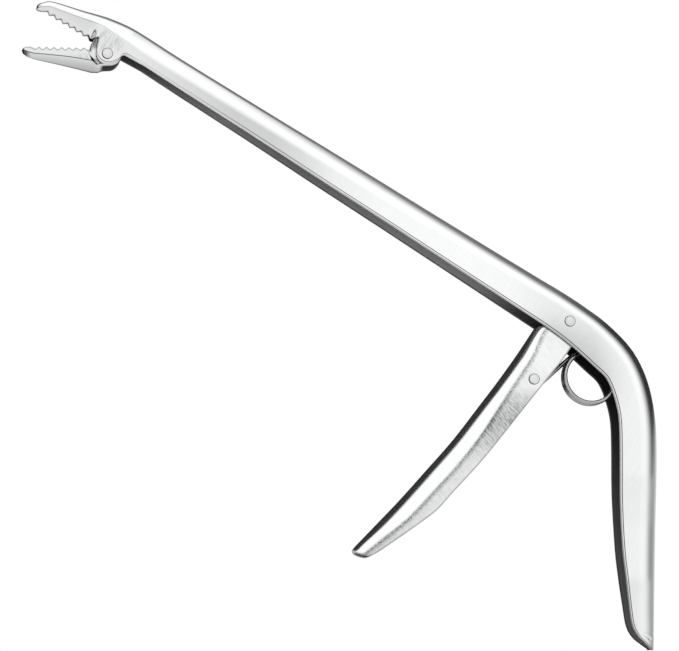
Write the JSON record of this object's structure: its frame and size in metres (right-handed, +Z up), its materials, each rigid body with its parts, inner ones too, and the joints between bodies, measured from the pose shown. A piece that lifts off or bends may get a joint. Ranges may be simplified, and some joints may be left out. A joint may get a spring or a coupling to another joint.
{
  "type": "hook remover",
  "caption": "Long-nose hook remover of folded stainless sheet: fixed and hinged toothed jaws on a slanted barrel, worked by a sprung pistol-grip trigger.",
  "frame": {"origin": "centre of the whole tool's bounding box, on the mid-plane of the folded channel", "axes": "+X from the jaws towards the handle, +Y across the tool, +Z up with the handle hanging down and the barrel rising towards -X"},
  "size_m": [0.2092, 0.0128, 0.2057],
  "materials": {
    "polished_sheet": "polished",
    "brushed_sheet": "brushed",
    "satin_rivet": "satin",
    "spring_wire": "dark satin",
    "plated_rod": "satin"
  },
  "bodies": {
    "frame": {"main_channel_body": "polished_sheet", "jaw_pivot_rivet": "satin_rivet", "trigger_pivot_rivet": "satin_rivet", "trigger_pivot_bush": "satin_rivet", "torsion_spring": "spring_wire"},
    "trigger": {"trigger_lever": "brushed_sheet", "spring_post_rivet": "satin_rivet", "spring_post_sleeve": "satin_rivet", "trigger_link_pin": "satin_rivet"},
    "jaw": {"lower_jaw": "polished_sheet", "jaw_link_pin": "satin_rivet"},
    "rod": {"pull_rod": "plated_rod"}
  },
  "joints": [
    {"name": "trigger_squeeze", "type": "hinge", "parent": "frame", "child": "trigger", "pos_m": [0.0746, 0, 0.00298], "axis": [0, -1, 0], "range_deg": [0, 26], "deforming": ["torsion_spring"]},
    {"name": "jaw_close", "type": "hinge", "parent": "frame", "child": "jaw", "pos_m": [-0.0775, 0, 0.08548], "axis": [0, 1, 0], "range_deg": [0, 27.5]},
    {"name": "rod_swing", "type": "hinge", "parent": "trigger", "child": "rod", "pos_m": [0.0716, 0, -0.0001], "axis": [0, 1, 0], "range_deg": [0, 26]}
  ],
  "couplings": [
    {"joint": "jaw_close", "follows": "trigger_squeeze", "ratio": 1.0577},
    {"joint": "rod_swing", "follows": "trigger_squeeze", "ratio": 1}
  ]
}
